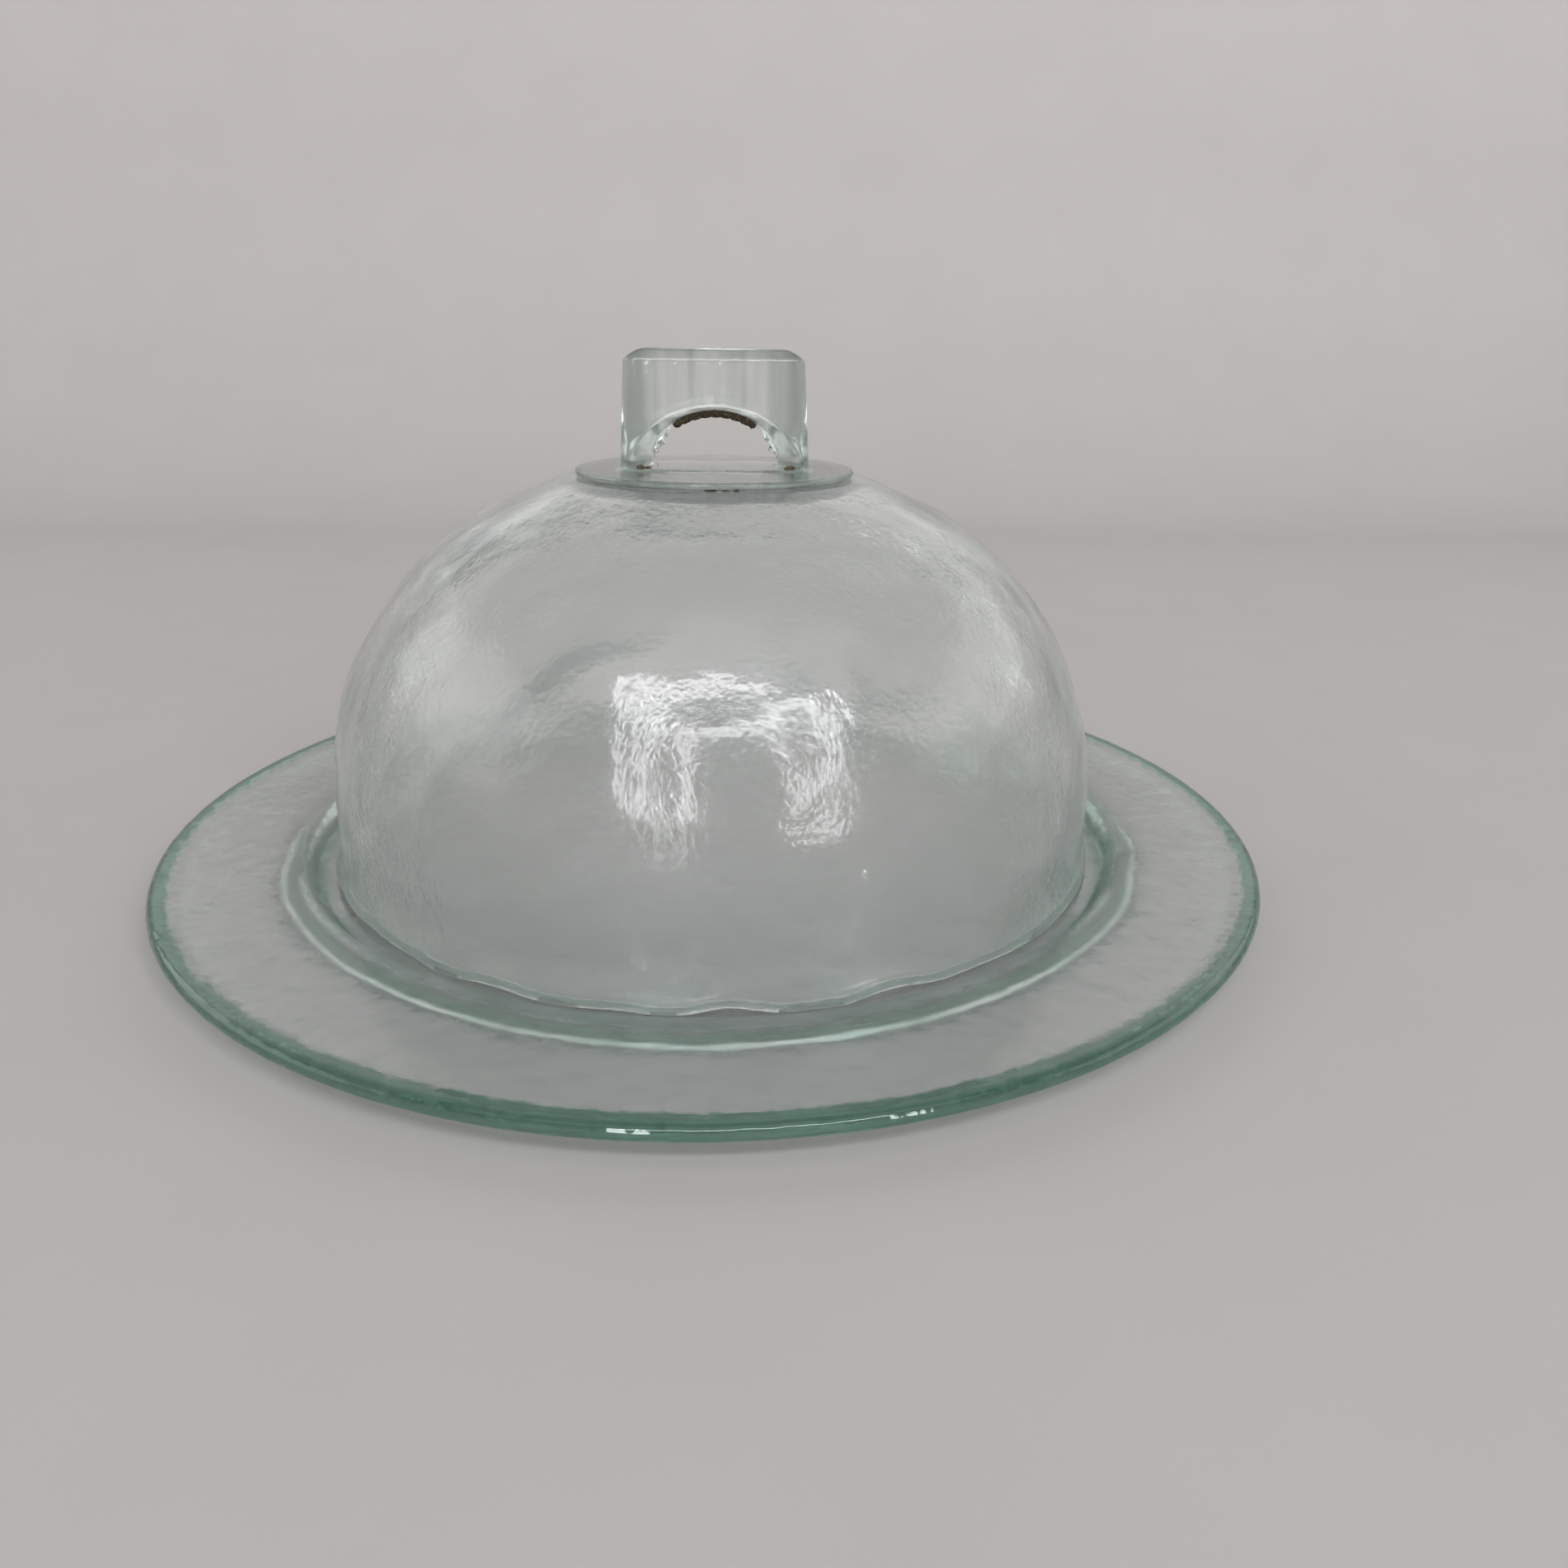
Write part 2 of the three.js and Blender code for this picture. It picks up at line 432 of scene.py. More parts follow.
def buildDome():
    profile, innerCount = domeProfile()
    turns = dome["turns"]
    points = turnedPoints(profile, turns)
    ringOf = ringIndex(len(profile), turns)
    outside = ringOf >= innerCount
    radius, across = fromAxis(points)
    height = points[:, 2]
    # outward directions of the two skins, from the profile's own slope
    slope = np.gradient(profile, axis=0)
    slope /= np.linalg.norm(slope, axis=1)[:, None]
    normals = np.column_stack([slope[ringOf, 1:] * across, -slope[ringOf, 0]])
    hammer = dome["hammerDepth"] * lumps(points, dome["hammerSize"], seed=1)
    dents = dome["dentDepth"] * lumps(points, dome["dentSize"], seed=2)
    inner = dome["innerDepth"] * lumps(points, dome["innerSize"], seed=3)
    # mould rings: noise that is long round the axis and short along the profile
    angle = np.arctan2(points[:, 1], points[:, 0])
    along = np.concatenate([[0], np.cumsum(np.linalg.norm(np.diff(profile, axis=0), axis=1))])[ringOf]
    turn = dome["ringRadius"] / dome["ringLength"]
    stretched = np.column_stack([turn * np.cos(angle), turn * np.sin(angle), along / dome["ringSize"]])
    nearCrown = 1 - fade(radius, dome["ringRadius"], dome["ringRadius"] + dome["ringFade"])
    rings = dome["ringDepth"] * lumps(stretched, 1, seed=10) * nearCrown
    swell = np.where(outside, hammer + dents, inner) + rings
    fadeStart, fadeEnd = dome["seatFade"]
    swell *= fade(radius, dome["seatRadius"] + fadeStart, dome["seatRadius"] + fadeEnd)
    around = np.column_stack([np.cos(angle), np.sin(angle), 0 * angle]) * dome["footRadius"]
    waves = lumps(around, dome["scallopLength"], seed=4)
    wave = np.clip(dome["scallopMean"] + dome["scallopSwing"] * waves, 0, 1)
    nearFoot = 1 - fade(height, 0, dome["scallopReach"])
    swell *= 1 - nearFoot
    bead = dome["beadRise"] * np.exp(-((height - dome["beadHeight"]) / dome["beadSpread"]) ** 2)
    swell += np.where(outside, bead, 0)
    points = points + normals * swell[:, None]
    points[:, 2] += (dome["scallopRise"] * wave - dome["footDrop"]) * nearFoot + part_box("dome")[0].z / mm
    glass = pressedGlass("pebbled pressed glass", dome, dome["pebble"])
    piece = newPiece("dome_glass", points, turnedFaces(len(profile) - 2, turns), glass)
    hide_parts("dome")
    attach(piece, "dome")
    print("dome built,", len(points), "points")


# plate: flat base, sunken well, wide rim and a fire-polished edge
plate = {
    "floor": 5,
    "wellDepth": 5.6,
    "wellRadius": 116,
    "wellRun": 6,
    "underRadius": 117,
    "underRun": 18,
    "rimWidth": 38,
    "rimThickness": 5.4,
    "noseRun": 2.5,          # the fire-polished nose, and the taper under it
    "noseHeight": 4.3,
    "taperRun": 6.5,
    "turns": 480,
    "floorSteps": 40,
    "underSteps": 20,
    "taperSteps": 12,
    "noseSteps": 10,
    "rimSteps": 36,
    "wellSteps": 18,
    "rippleSize": 26,        # slow ripples on the rim, longer below than above
    "underRippleSize": 36.4,
    "rippleDepth": 0.2,
    "rimFade": 12,
    "edgeSize": 9,
    "edgeDepth": 0.05,
    "edgeFade": 4,
    "sweepSize": 34,         # the underside's sweep to the rim wanders in and out
    "sweepWander": 1.6,
    "sweepFade": 8,
    "roundness": 0.5,        # how far the edge wanders in from a true circle
    "roundSize": 90,
    "creaseFrom": (-139, -79),
    "creaseTo": (-126, -87),
    "creaseWidth": 0.9,
    "creaseDepth": 0.55,
    "creaseFade": 0.8,       # share of its depth that it loses to its far end
    "paintedGreenStart": 154.5,     # the painted green of the edge begins here, with a ragged border
    # painted shade: the dark green that light guided inside the rim gives the edge
    "paintedEdgeGreen": "8CBAA8",
    "raggedSize": 4.5,
    "raggedDepth": 4,
    "raggedFade": 0.7,
    "shoulderRadius": 118.5,  # the well's shoulder, where a painted green band lies
    "shoulderHalf": 5.5,
    # painted shade: the green that light reflected inside the thick shoulder gives it
    "paintedShoulderGreen": "9CCBBB",
    "patchSize": 22,
    "patchFade": (0.3, 0.6),
    "patchShare": (0.3, 1.0),
    "density": 9.0,
    "clearness": 0.93,
    "roughness": 0.18,
    "edgeRoughness": 0.04,   # the flame left the edge glossier than the pressed faces
    "skin": [(9.0, 0.42), (3.0, 0.07)],
}


def paintedGreenShade(tree, shader):
    # painted shade: the edge is tinted green by radius, with a ragged border, in place of the long green way
    # that the light runs inside the rim; the well's shoulder is thick too, and is tinted green in soft
    # patches, in place of the light reflected inside it
    place = addNode(tree, "ShaderNodeTexCoord", {}, {})
    flat = addNode(tree, "ShaderNodeVectorMath", {"operation": "MULTIPLY"}, {
        0: place.outputs["Object"], 1: (1, 1, 0)})
    radius = addNode(tree, "ShaderNodeVectorMath", {"operation": "LENGTH"}, {0: flat.outputs["Vector"]})
    ragged = addNode(tree, "ShaderNodeTexNoise", {}, {
        "Vector": flat.outputs["Vector"], "Scale": 1 / (plate["raggedSize"] * mm), "Detail": 2.0})
    reach = addNode(tree, "ShaderNodeMath", {"operation": "MULTIPLY_ADD"}, {
        0: ragged.outputs["Fac"], 1: plate["raggedDepth"] * mm, 2: radius.outputs["Value"]})
    border = plate["paintedGreenStart"] + plate["raggedDepth"] / 2
    # share of the painted green shade at the edge
    onEdge = addNode(tree, "ShaderNodeMapRange", {}, {
        "Value": reach.outputs[0], "From Min": border * mm, "From Max": (border + plate["raggedFade"]) * mm})
    offShoulder = addNode(tree, "ShaderNodeMath", {"operation": "SUBTRACT"}, {
        0: radius.outputs["Value"], 1: plate["shoulderRadius"] * mm})
    fromShoulder = addNode(tree, "ShaderNodeMath", {"operation": "ABSOLUTE"}, {0: offShoulder.outputs[0]})
    # share of the painted green shade on the well's shoulder
    paintedShoulderShare = addNode(tree, "ShaderNodeMapRange", {"interpolation_type": "SMOOTHSTEP"}, {
        "Value": fromShoulder.outputs[0],
        "From Min": 0.0, "From Max": plate["shoulderHalf"] * mm, "To Min": 1.0, "To Max": 0.0})
    patches = addNode(tree, "ShaderNodeTexNoise", {}, {
        "Vector": flat.outputs["Vector"], "Scale": 1 / (plate["patchSize"] * mm), "Detail": 1.0})
    patchy = addNode(tree, "ShaderNodeMapRange", {}, {
        "Value": patches.outputs["Fac"],
        "From Min": plate["patchFade"][0], "From Max": plate["patchFade"][1],
        "To Min": plate["patchShare"][0], "To Max": plate["patchShare"][1]})
    shoulder = addNode(tree, "ShaderNodeMath", {"operation": "MULTIPLY"}, {
        0: paintedShoulderShare.outputs["Result"], 1: patchy.outputs["Result"]})
    # painted green shade on the shoulder, in soft patches
    paintedShoulderTone = addNode(tree, "ShaderNodeMix", {"data_type": "RGBA"}, {
        "Factor": shoulder.outputs[0],
        "A": linearColour(glassTint["surface"]),
        "B": linearColour(plate["paintedShoulderGreen"])})
    # painted green shade on the edge
    tone = addNode(tree, "ShaderNodeMix", {"data_type": "RGBA"}, {
        "Factor": onEdge.outputs["Result"],
        "A": paintedShoulderTone.outputs["Result"],
        "B": linearColour(plate["paintedEdgeGreen"])})
    gloss = addNode(tree, "ShaderNodeMapRange", {}, {
        "Value": onEdge.outputs["Result"], "To Min": plate["roughness"], "To Max": plate["edgeRoughness"]})
    tree.links.new(tone.outputs["Result"], shader.inputs["Base Color"])
    tree.links.new(gloss.outputs["Result"], shader.inputs["Roughness"])


def plateProfile():
    under0 = plate["underRadius"]
    under1 = under0 + plate["underRun"]
    leave = plate["underRun"] / 2
    arrive = plate["underRun"] * 3 / 4
    floor = plate["floor"]
    well = plate["wellRadius"]
    rim = well + plate["wellRun"]
    half = plate["wellRun"] / 2
    outer = rim + plate["rimWidth"]
    top = floor + plate["wellDepth"]
    under = top - plate["rimThickness"]
    nose = plate["noseRun"]
    noseHalf = plate["noseHeight"] / 2
    noseUnder = top - plate["noseHeight"]
    noseStart = outer - nose
    taper = noseStart - plate["taperRun"]
    centre = (noseStart, top - noseHalf)
    sweep = [(under0, 0), (under0 + leave, 0), (under1 - arrive, under), (under1, under)]
    thinning = [(taper, under), (taper + nose, under), (noseStart - nose, noseUnder), (noseStart, noseUnder)]
    underside = joined([
        bezier([(0, 0), (under0, 0)], plate["floorSteps"]),
        bezier(sweep, plate["underSteps"]),
        bezier([(under1, under), (taper, under)], plate["underSteps"]),
        bezier(thinning, plate["taperSteps"]),
        ellipseArc(centre, (nose, noseHalf), -90, 0, plate["noseSteps"]),
    ])
    upperSide = joined([
        ellipseArc(centre, (nose, noseHalf), 0, 90, plate["noseSteps"]),
        bezier([(noseStart, top), (rim, top)], plate["rimSteps"]),
        bezier([(rim, top), (rim - half, top), (well + half, floor), (well, floor)], plate["wellSteps"]),
        bezier([(well, floor), (0, floor)], plate["floorSteps"]),
    ])
    return joined([underside, upperSide]), len(underside)


def buildPlate():
    profile, underCount = plateProfile()
    turns = plate["turns"]
    points = turnedPoints(profile, turns)
    isTop = ringIndex(len(profile), turns) >= underCount
    radius, across = fromAxis(points)
    rimStart = plate["wellRadius"] + plate["wellRun"]
    outer = rimStart + plate["rimWidth"]
    edgeStart = outer - plate["noseRun"] - plate["taperRun"]
    around = np.column_stack([across * outer, 0 * radius])
    onRim = fade(radius, rimStart, rimStart + plate["rimFade"])
    onEdge = fade(radius, edgeStart, edgeStart + plate["edgeFade"])
    above = lumps(points, plate["rippleSize"], seed=5)
    below = lumps(points, plate["underRippleSize"], seed=6)
    points[:, 2] += plate["rippleDepth"] * np.where(isTop, above, below) * onRim * (1 - onEdge)
    sweepStart = plate["underRadius"]
    sweepEnd = sweepStart + plate["underRun"]
    onSweep = fade(radius, sweepStart - plate["sweepFade"], sweepStart)
    onSweep *= 1 - fade(radius, sweepEnd, sweepEnd + plate["sweepFade"])
    sway = plate["sweepWander"] * lumps(around, plate["sweepSize"], seed=11) * np.where(isTop, 0, onSweep)
    points[:, :2] += across * sway[:, None]
    # the edge: uneven at the scale of the flame that rounded it, and never quite a circle
    uneven = plate["edgeDepth"] * lumps(points, plate["edgeSize"], seed=7)
    wander = plate["roundness"] * lumpShare(around, plate["roundSize"], seed=8)
    inward = wander * onRim + np.maximum(uneven + plate["edgeDepth"] / 2, 0) * onEdge
    points[:, :2] -= across * inward[:, None]
    points[:, 2] += np.where(isTop, -1, 1) * np.maximum(uneven, 0) * onEdge
    # shear mark: a short crease where the glass was cut when hot
    start = np.array(plate["creaseFrom"], float)
    line = np.array(plate["creaseTo"], float) - start
    share = np.clip(((points[:, :2] - start) @ line) / (line @ line), 0, 1)
    distance = np.linalg.norm(points[:, :2] - start - share[:, None] * line, axis=1)
    crease = np.exp(-(distance / plate["creaseWidth"]) ** 2) * (1 - plate["creaseFade"] * share)
    points[:, 2] -= np.where(isTop, plate["creaseDepth"] * crease, 0)
    glass = pressedGlass("fire-polished pressed glass", plate, plate["skin"], paintedGreenShade)
    piece = newPiece("plate_glass", points, turnedFaces(len(profile) - 2, turns), glass)
    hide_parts("plate")
    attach(piece, "plate")
    print("plate built,", len(points), "points")


# handle: slab with a flared finger hole on a thin foot disc, poured and pressed in one
handle = {
    "discRadius": 39,
    "discThickness": 1.8,
    "halfWidth": 25.8,
    "halfDepth": 13.5,
    "slabHeight": 31.4,
    "taper": 1.8,
    "edge": 1.1,
    "upright": 3.2,          # radius of the upright edges
    "bevelSide": 3.9,        # bevel round the top: in from the ends, and down
    "bevelDrop": 2.7,
    "bevelRound": 0.9,
    "drawDepth": 0.06,       # drawn marks down the faces; waves in radians per millimetre, across and up
    "drawTurn": 1.0,
    "drawRise": 0.06,
    "drawSway": 1.9,         # the marks don't lie evenly
    "drawSwayTurn": 0.31,
    "footFillet": 2.2,
    "mouthHalfWidth": 23.4,
    "mouthHeight": 16.5,
    "pinchSide": 5.2,
    "pinchTop": 1.6,
    "sill": 0.5,
    "sillRound": 1.2,
    "mouthRound": 1.4,
    "finHeight": 2.8,        # stumps of the broken web where the two plungers met
    "finThickness": 1.5,
    "finPlace": 14.6,
    "finLength": 2.6,
    "tornShare": 0.3,        # their torn edge; waves in radians per millimetre, along and up
    "tornTurn": 2.7,
    "tornRise": 1.6,
    "tornSway": 1.3,
    "tornSwayTurn": 1.9,
    "grid": 0.5,
    "margin": 1.43,          # free space round the handle in the grid
    "streakSize": (5, 5, 70),  # faint upright streaks in the glass
    "streakFade": (0.42, 0.62),
    "streakShare": 0.6,
    "endShadeStart": 13,         # painted shade: towards the ends the glass is seen edge on, and is painted darker to look so
    "endShadeEnd": 23,
    # grey of the streaks, and of the painted shade towards the ends
    "streakAndEndShadeColour": "C2C8C4",
    "density": 4.5,
    "clearness": 0.97,
    "roughness": 0.17,
    "skin": [(7.0, 0.1), (1.6, 0.06)],
}


def smoothMin(a, b, width):
    # the smaller of two distances, with a round of the given width where they meet
    share = np.clip(0.5 + 0.5 * (b - a) / width, 0, 1)
    return b + (a - b) * share - width * share * (1 - share)


def slabField(x, y, z):
    # tapered block with round upright edges, drawn faces and a bevel round its top
    thick = handle["discThickness"]
    top = thick + handle["slabHeight"]
    width = handle["halfWidth"] - handle["taper"] * np.clip((z - thick) / handle["slabHeight"], 0, 1)
    sway = handle["drawSway"] * np.sin(handle["drawSwayTurn"] * x)
    marks = np.sin(handle["drawTurn"] * x + sway + handle["drawRise"] * z + np.sign(y))
    drawn = handle["drawDepth"] * (1 + marks)
    outX = np.abs(x) - width + handle["upright"]
    outY = np.abs(y) - handle["halfDepth"] + drawn + handle["upright"]
    sides = np.hypot(np.maximum(outX, 0), np.maximum(outY, 0)) + np.minimum(np.maximum(outX, outY), 0)
    slab = -smoothMin(handle["upright"] - sides, top - z, 2 * handle["edge"])
    down = z - top + handle["bevelDrop"]
    endBevel = (np.abs(x) - width) * handle["bevelDrop"] + down * handle["bevelSide"]
    endBevel /= math.hypot(handle["bevelDrop"], handle["bevelSide"])
    faceBevel = (np.abs(y) - handle["halfDepth"] + down) / math.sqrt(2)
    slab = -smoothMin(-slab, -endBevel, handle["bevelRound"])
    slab = -smoothMin(-slab, -faceBevel, handle["bevelRound"])
    return np.maximum(slab, thick / 2 - z)


def holeField(x, y, z):
    # finger hole: half-round, pinched in the middle of the depth, with two ragged stumps at the waist
    pinch = np.clip(1 - (y / handle["halfDepth"]) ** 2, 0, 1)
    up = z - handle["discThickness"] - handle["sill"]
    sway = handle["tornSway"] * np.sin(handle["tornSwayTurn"] * x)
    torn = np.sin(handle["tornTurn"] * x + sway) * np.cos(handle["tornRise"] * up)
    ragged = 1 - handle["tornShare"] + handle["tornShare"] * torn
    fromFin = (np.abs(x) - handle["finPlace"]) / handle["finLength"]
    fin = handle["finHeight"] * ragged * np.exp(-fromFin ** 2 - (y / handle["finThickness"]) ** 2)
    holeX = handle["mouthHalfWidth"] - handle["pinchSide"] * pinch - fin
    holeZ = handle["mouthHeight"] - handle["pinchTop"] * pinch - fin
    reach = np.sqrt((x / holeX) ** 2 + (np.maximum(up, 0) / holeZ) ** 2)
    hole = (reach - 1) * np.minimum(holeX, holeZ)
    return -smoothMin(-hole, up, handle["sillRound"])


def handleField(x, y, z):
    # signed distance in mm, about exact near the skin; z counts from the foot of the disc
    half = handle["discThickness"] / 2
    disc = np.hypot(np.maximum(np.hypot(x, y) - handle["discRadius"] + half, 0), z - half) - half
    body = smoothMin(disc, slabField(x, y, z), handle["footFillet"])
    return np.maximum(-smoothMin(-body, holeField(x, y, z), handle["mouthRound"]), -z)


def surfaceOf(field, low, high, step):
    # skin of a distance field: one point per grid cell that the skin crosses, then moved onto the skin
    passes = 8
    stride = 0.8            # share of the way to the skin in each pass
    leastSlope = 1e-3
    axes = [np.arange(a, b + step, step) for a, b in zip(low, high)]
    shape = [len(axis) for axis in axes]
    inside = field(*np.meshgrid(*axes, indexing="ij")) < 0
    corners = np.stack([inside[i:shape[0] - 1 + i, j:shape[1] - 1 + j, k:shape[2] - 1 + k]
                        for i in (0, 1) for j in (0, 1) for k in (0, 1)])
    crossed = corners.any(axis=0) & ~corners.all(axis=0)
    index = -np.ones(crossed.shape, int)
    cells = np.argwhere(crossed)
    index[crossed] = np.arange(len(cells))
    points = np.array([axis[0] for axis in axes]) + (cells + 0.5) * step
    reach = step / 10
    for _ in range(passes):
        here = field(*points.T)
        slope = np.stack([field(*(points + reach * unit).T) - field(*(points - reach * unit).T)
                          for unit in np.eye(3)], axis=1) / (2 * reach)
        points = points - stride * slope * (here / np.maximum((slope ** 2).sum(axis=1), leastSlope))[:, None]
    # a face round each grid line whose two ends lie on different sides of the skin
    faces = []
    for axis, (side, other) in enumerate([(1, 2), (2, 0), (0, 1)]):
        first = np.take(inside, range(shape[axis] - 1), axis)
        second = np.take(inside, range(1, shape[axis]), axis)
        for cell in np.argwhere(first != second):
            if cell[side] == 0 or cell[other] == 0:
                continue
            ring = []
            for a, b in ((0, 0), (1, 0), (1, 1), (0, 1)):
                near = cell.copy()
                near[side] -= a
                near[other] -= b
                ring.append(int(index[tuple(near)]))
            faces.append(ring if inside[tuple(cell)] else ring[::-1])
    return points, faces


def greyStreaksAndPaintedEndShade(tree, shader):
    # the thick slab is a little grey in upright streaks, and painted grey towards its ends, as shade where
    # it is seen edge on
    place = addNode(tree, "ShaderNodeTexCoord", {}, {})
    scale = [1 / (size * mm) for size in handle["streakSize"]]
    drawn = addNode(tree, "ShaderNodeVectorMath", {"operation": "MULTIPLY"}, {
        0: place.outputs["Object"], 1: scale})
    streaks = addNode(tree, "ShaderNodeTexNoise", {}, {
        "Vector": drawn.outputs["Vector"], "Scale": 1.0, "Detail": 2.0})
    faint = addNode(tree, "ShaderNodeMapRange", {}, {
        "Value": streaks.outputs["Fac"],
        "From Min": handle["streakFade"][0], "From Max": handle["streakFade"][1],
        "To Max": handle["streakShare"]})
    # painted shade: darker grey towards the ends, where the slab is seen edge on
    sideways = addNode(tree, "ShaderNodeSeparateXYZ", {}, {"Vector": place.outputs["Object"]})
    out = addNode(tree, "ShaderNodeMath", {"operation": "ABSOLUTE"}, {0: sideways.outputs["X"]})
    side = addNode(tree, "ShaderNodeMapRange", {"interpolation_type": "SMOOTHSTEP"}, {
        "Value": out.outputs[0], "From Min": handle["endShadeStart"] * mm, "From Max": handle["endShadeEnd"] * mm})
    share = addNode(tree, "ShaderNodeMath", {"operation": "MAXIMUM"}, {
        0: faint.outputs["Result"], 1: side.outputs["Result"]})
    tone = addNode(tree, "ShaderNodeMix", {"data_type": "RGBA"}, {
        "Factor": share.outputs[0],
        "A": linearColour(glassTint["surface"]),
        "B": linearColour(handle["streakAndEndShadeColour"])})
    tree.links.new(tone.outputs["Result"], shader.inputs["Base Color"])


def buildHandle():
    low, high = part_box("handle")
    height = (high.z - low.z) / mm
    margin = handle["margin"]
    reach = handle["discRadius"] + margin
    start = (-reach, -reach, -margin)
    end = (reach, reach, height + margin)
    points, faces = surfaceOf(handleField, start, end, handle["grid"])
    points[:, 2] = np.clip(points[:, 2], 0, height) + low.z / mm
    glass = pressedGlass("fire-polished thick glass", handle, handle["skin"], greyStreaksAndPaintedEndShade)
    piece = newPiece("handle_glass", points, faces, glass)
    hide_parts("handle")
    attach(piece, "dome")
    print("handle built,", len(points), "points")


# residue: a brown crust along the roof of the finger hole, and brown specks in its lower corners and in the
# crevice under the disc
residue = {
    "thickness": 2.0,
    "halfLength": 11.4,
    "depth": 1.3,
    "crustCrumble": 0.5,     # how strongly the crust and the specks swell and thin
    "speckCrumble": 0.3,
    "lump": (0.3, 2.3, 2.0, 1.1),    # share, radians per millimetre along and across, and start
    "crumb": (0.25, 4.6, 3.9, 3.1),  # share, radians per millimetre along, across and up
    # specks: middle from the foot of the disc, and half sizes
    "specks": [
        ((-20.2, -11.2, 2.6), (1.3, 0.9, 0.7)),
        ((-18.2, -10.4, 2.5), (0.8, 0.7, 0.5)),
        ((20.4, -11.2, 2.6), (1.5, 0.9, 0.7)),
        ((-1.2, -37.4, -0.25), (1.6, 0.6, 0.22)),
        ((2.6, -37.5, -0.25), (1.1, 0.5, 0.2)),
        ((5.4, -37.2, -0.25), (0.8, 0.5, 0.2)),
    ],
    "turns": 40,
    "ballRings": 20,
    "barSteps": 150,
    "capSteps": 8,
    "darkColour": "2B251E",
    "paleColour": "51463A",
    "glintColour": "C9AA62",
    "grainSize": 0.9,
    "crumbSize": 0.35,
    "crumbHeight": 0.15,
    "glintFade": (0.62, 0.7),
    "roughness": (0.8, 0.25),  # of the crumbs and of the glints
}


def brownCrustFinish():
    # brown crust: matt brown crumbs, a few of them shiny metallic gold, which give a glint
    material, tree = newMaterial("brown crust finish")
    place = addNode(tree, "ShaderNodeTexCoord", {}, {})
    grain = addNode(tree, "ShaderNodeTexNoise", {}, {
        "Vector": place.outputs["Object"], "Scale": 1 / (residue["grainSize"] * mm), "Detail": 3.0})
    crumbs = addNode(tree, "ShaderNodeTexNoise", {}, {
        "Vector": place.outputs["Object"], "Scale": 1 / (residue["crumbSize"] * mm), "Detail": 1.0})
    tone = addNode(tree, "ShaderNodeMix", {"data_type": "RGBA"}, {
        "Factor": grain.outputs["Fac"],
        "A": linearColour(residue["darkColour"]),
        "B": linearColour(residue["paleColour"])})
    glint = addNode(tree, "ShaderNodeMapRange", {}, {
        "Value": crumbs.outputs["Fac"],
        "From Min": residue["glintFade"][0], "From Max": residue["glintFade"][1]})
    colour = addNode(tree, "ShaderNodeMix", {"data_type": "RGBA"}, {
        "Factor": glint.outputs["Result"],
        "A": tone.outputs["Result"],
        "B": linearColour(residue["glintColour"])})
    gloss = addNode(tree, "ShaderNodeMapRange", {}, {
        "Value": glint.outputs["Result"],
        "To Min": residue["roughness"][0], "To Max": residue["roughness"][1]})
    skin = addNode(tree, "ShaderNodeBump", {}, {
        "Height": crumbs.outputs["Fac"], "Strength": 1.0, "Distance": residue["crumbHeight"] * mm})
    shader = addNode(tree, "ShaderNodeBsdfPrincipled", {}, {
        "Base Color": colour.outputs["Result"], "Metallic": glint.outputs["Result"],
        "Roughness": gloss.outputs["Result"], "Normal": skin.outputs["Normal"]})
    addNode(tree, "ShaderNodeOutputMaterial", {}, {"Surface": shader.outputs["BSDF"]})
    return material


def crumble(x, y, z):
    # lumps about 3 mm long, with crumbs of half that on them
    share, along, across, start = residue["lump"]
    coarse = share * np.sin(along * x + start + across * y)
    share, along, across, up = residue["crumb"]
    return coarse + share * np.sin(along * x + up * z) * np.cos(across * y)


def crustPoints():
    # a round bar, laid along the roof of the finger hole at its waist, that swells and thins
    half = residue["thickness"] / 2
    straight = residue["halfLength"] - half
    profile = joined([
        ellipseArc((0, -straight), (1, half), -90, 0, residue["capSteps"]),
        bezier([(1, -straight), (1, straight)], residue["barSteps"]),
        ellipseArc((0, straight), (1, half), 0, 90, residue["capSteps"]),
    ])
    bar = turnedPoints(profile, residue["turns"])
    along = bar[:, 2]
    side = -residue["depth"] * bar[:, 1]
    swell = 1 + residue["crustCrumble"] * crumble(along, side, half * bar[:, 0])
    width = handle["mouthHalfWidth"] - handle["pinchSide"] - half
    height = handle["mouthHeight"] - handle["pinchTop"] - half
    rise = np.sqrt(1 - (along / width) ** 2)
    out = np.column_stack([along / width ** 2, rise / height])
    out *= (half * bar[:, 0] * swell / np.linalg.norm(out, axis=1))[:, None]
    floor = handle["discThickness"] + handle["sill"]
    return np.column_stack([along + out[:, 0], side * swell, floor + height * rise + out[:, 1]])


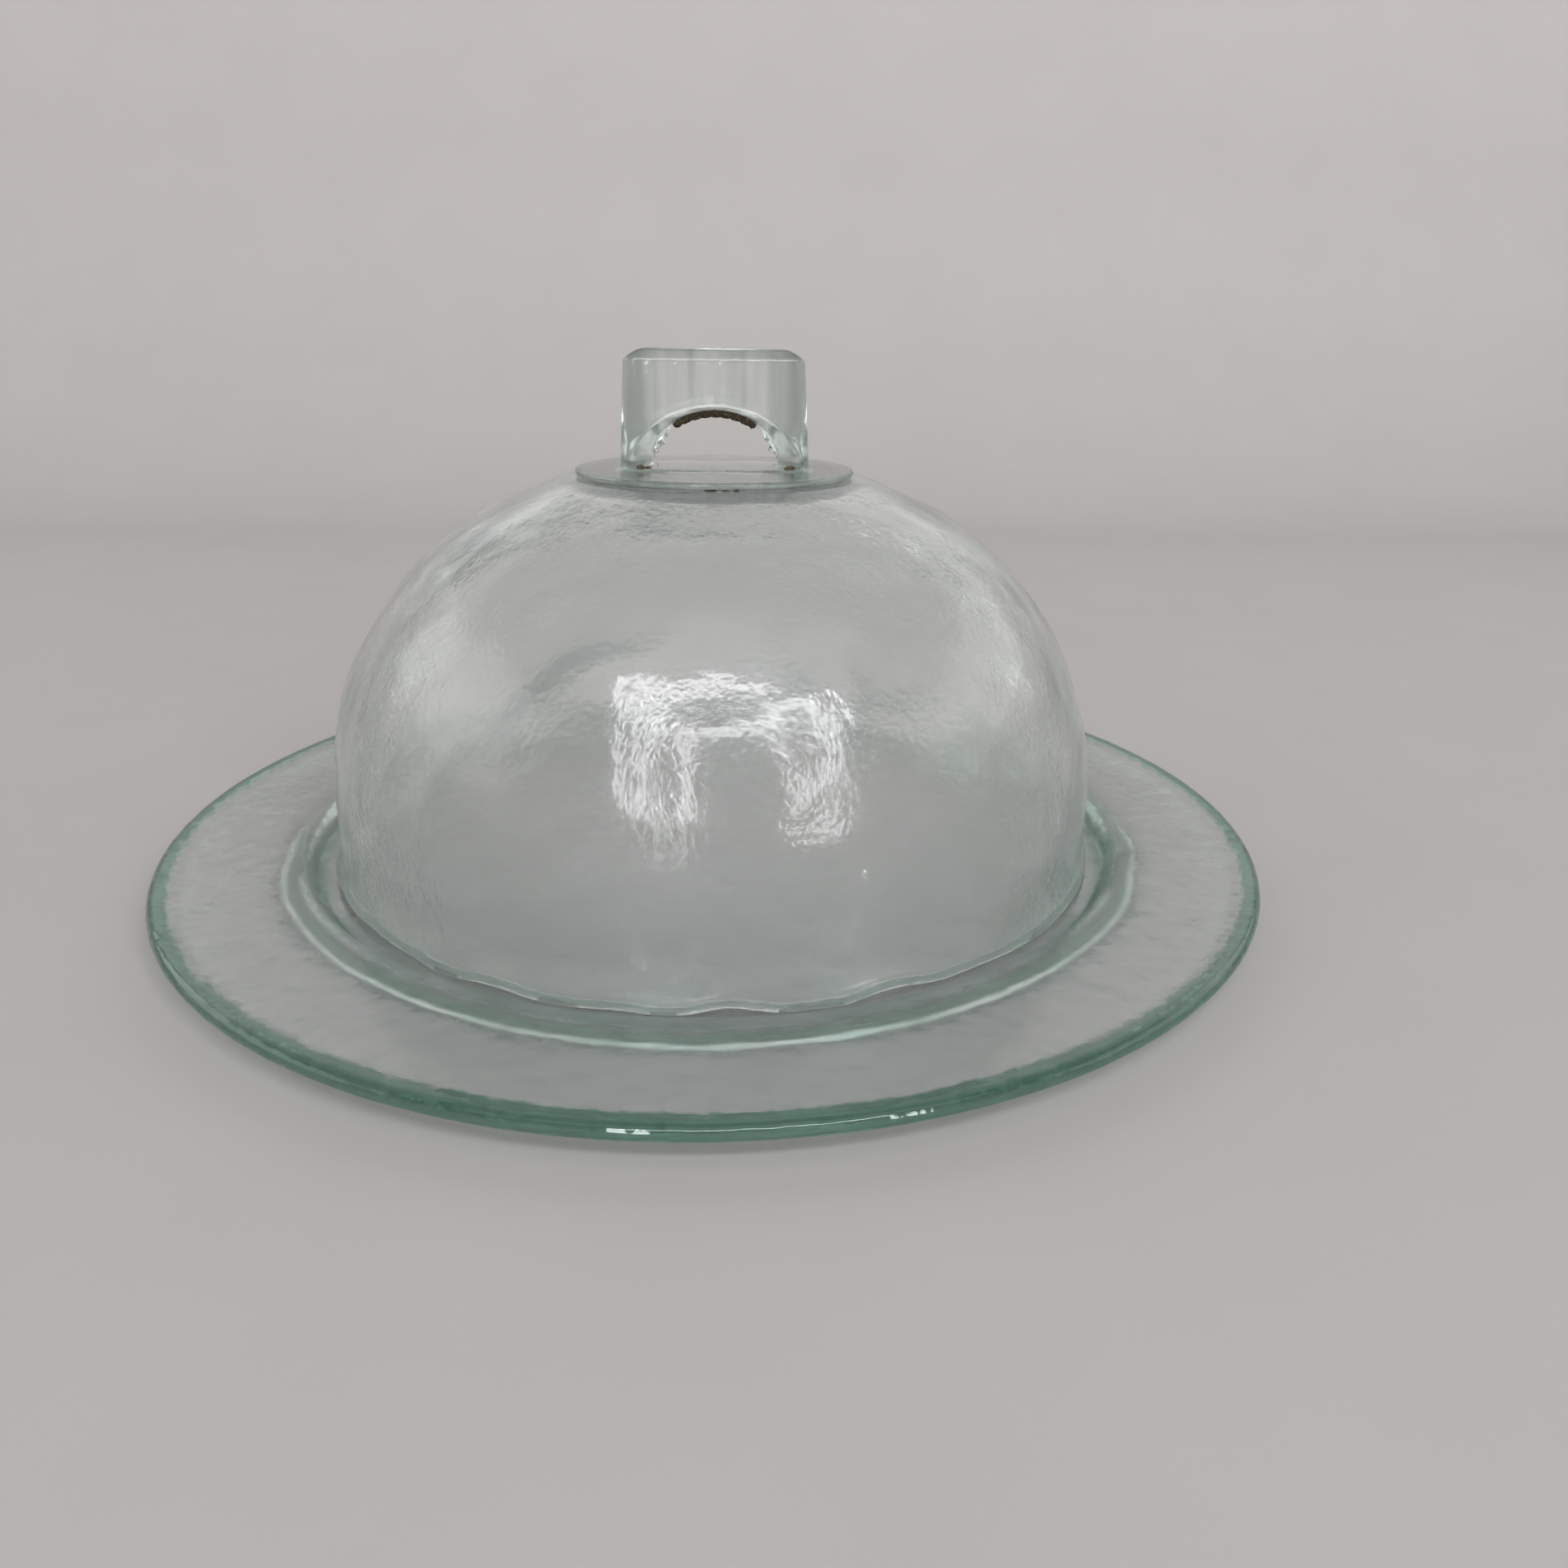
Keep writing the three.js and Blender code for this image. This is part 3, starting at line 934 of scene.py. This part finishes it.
def speckPoints(middle, size):
    circle = ellipseArc((0, 0), (1, 1), -90, 90, residue["ballRings"])
    ball = turnedPoints(circle, residue["turns"]) * size
    return middle + ball * (1 + residue["speckCrumble"] * crumble(*(middle + ball).T))[:, None]


def buildResidue():
    shells = [crustPoints()] + [speckPoints(middle, size) for middle, size in residue["specks"]]
    turns = residue["turns"]
    faces = []
    start = 0
    for shell in shells:
        rings = (len(shell) - 2) // turns
        faces += [[corner + start for corner in face] for face in turnedFaces(rings, turns)]
        start += len(shell)
    points = np.concatenate(shells)
    points[:, 2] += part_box("handle")[0].z / mm
    piece = newPiece("handle_residue", points, faces, brownCrustFinish())
    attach(piece, "dome")
    print("residue built,", len(points), "points")


# bond: clear film under the foot disc, pressed out unevenly
bond = {
    "radius": 36.2,
    "wander": 0.9,
    "wanderSize": 9,
    "wanderFade": (20, 36),
    "turns": 180,
    "faceSteps": 10,
    "edgeSteps": 6,
    "density": 2.0,
    "clearness": 0.7,
    "roughness": 0.5,
    "skin": [(3.0, 0.01)],
}


def buildBond():
    low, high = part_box("handle_bond")
    bottom = low.z / mm
    top = high.z / mm
    half = (top - bottom) / 2
    edge = bond["radius"]
    profile = joined([
        bezier([(0, bottom), (edge, bottom)], bond["faceSteps"]),
        ellipseArc((edge, (bottom + top) / 2), (half, half), -90, 90, bond["edgeSteps"]),
        bezier([(edge, top), (0, top)], bond["faceSteps"]),
    ])
    points = turnedPoints(profile, bond["turns"])
    radius, across = fromAxis(points)
    around = np.column_stack([across * edge, 0 * radius])
    inward = bond["wander"] * lumpShare(around, bond["wanderSize"], seed=9)
    inward *= fade(radius, *bond["wanderFade"])
    points[:, :2] -= across * inward[:, None]
    film = pressedGlass("clear cured adhesive", bond, bond["skin"])
    piece = newPiece("bond_film", points, turnedFaces(len(profile) - 2, bond["turns"]), film)
    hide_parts("handle_bond")
    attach(piece, "dome")
    print("bond built")


placeCamera()
buildStage()
buildPlate()
buildDome()
buildBond()
buildHandle()
buildResidue()
